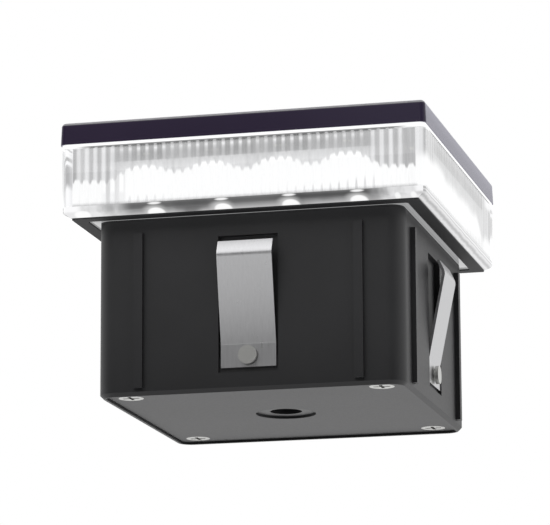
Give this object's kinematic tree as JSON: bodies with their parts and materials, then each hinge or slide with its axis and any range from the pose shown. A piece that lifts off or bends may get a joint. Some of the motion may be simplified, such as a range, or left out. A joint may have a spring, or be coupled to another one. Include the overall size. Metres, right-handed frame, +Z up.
{
  "type": "deck post cap light",
  "caption": "Square low-profile LED cap light for a railing post: dark metal cover over a clear ribbed light ring, with a plug and spring clips that go inside the post.",
  "frame": {"origin": "centre of the seat gasket's underside, which lies on the post's cut end", "axes": "+Z up along the post, the front as pictured faces -Y, +X to its right"},
  "size_m": [0.08, 0.08, 0.059],
  "materials": {
    "cover_coat": "satin powder coat",
    "clear_acrylic": "clear, moulded ribs inside",
    "white_silicone": "translucent white",
    "black_rubber": "matt",
    "white_reflector": "satin white",
    "black_nylon": "fine texture",
    "white_board": "white solder mask",
    "green_board": "green solder mask",
    "thermal_pad": "soft grey",
    "led_package": "white moulding",
    "led_phosphor": "lit",
    "zinc_screw": "bright zinc",
    "spring_steel": "brushed stainless",
    "socket_white": "natural nylon",
    "red_insulation": "silicone insulation",
    "black_insulation": "silicone insulation",
    "component_black": "epoxy",
    "capacitor_sleeve": "shrink sleeve",
    "ferrite": "sintered",
    "copper_winding": "enamelled wire",
    "contact_metal": "plated"
  },
  "bodies": {
    "housing": {"top_cover": "cover_coat", "cover_seal": "white_silicone", "lens_ring": "clear_acrylic", "reflector_core": "white_reflector", "thermal_pad": "thermal_pad", "led_board": "white_board", "front_leds": "led_package", "right_leds": "led_package", "back_leds": "led_package", "left_leds": "led_package", "led_phosphors": "led_phosphor", "led_resistors": "component_black", "led_board_screws": "zinc_screw", "led_socket": "socket_white", "post_gasket": "black_rubber", "plug_seal": "black_rubber", "base_plug": "black_nylon", "cover_screws": "zinc_screw", "cover_screw_washers": "zinc_screw", "wire_grommet": "black_rubber", "red_lead": "red_insulation", "black_lead": "black_insulation", "driver_board": "green_board", "driver_board_screws": "zinc_screw", "output_socket": "socket_white", "input_socket": "socket_white", "bridge_rectifier": "component_black", "bulk_capacitor": "capacitor_sleeve", "output_capacitor": "capacitor_sleeve", "inductor_core": "ferrite", "inductor_winding": "copper_winding", "driver_chip": "component_black", "driver_diode": "component_black", "driver_resistors": "component_black", "inlet_red_lead": "red_insulation", "inlet_black_lead": "black_insulation", "bottom_plate": "black_nylon", "bottom_plate_seal": "black_rubber", "bottom_plate_screws": "zinc_screw", "inlet_socket": "component_black", "inlet_nut": "contact_metal", "inlet_seal": "black_rubber", "inlet_pins": "contact_metal", "clip_rivets": "zinc_screw"},
    "front_spring": {"front_clip": "spring_steel"},
    "right_spring": {"right_clip": "spring_steel"},
    "back_spring": {"back_clip": "spring_steel"},
    "left_spring": {"left_clip": "spring_steel"}
  },
  "joints": [
    {"name": "front_clip_flex", "type": "hinge", "parent": "housing", "child": "front_spring", "pos_m": [0, -0.033, -0.0305], "axis": [-1, 0, 0], "range_deg": [0, 6], "stiffness_Nm_per_rad": 1.2},
    {"name": "right_clip_flex", "type": "hinge", "parent": "housing", "child": "right_spring", "pos_m": [0.033, 0, -0.0305], "axis": [0, -1, 0], "range_deg": [0, 6], "stiffness_Nm_per_rad": 1.2},
    {"name": "back_clip_flex", "type": "hinge", "parent": "housing", "child": "back_spring", "pos_m": [0, 0.033, -0.0305], "axis": [1, 0, 0], "range_deg": [0, 6], "stiffness_Nm_per_rad": 1.2},
    {"name": "left_clip_flex", "type": "hinge", "parent": "housing", "child": "left_spring", "pos_m": [-0.033, 0, -0.0305], "axis": [0, 1, 0], "range_deg": [0, 6], "stiffness_Nm_per_rad": 1.2}
  ]
}
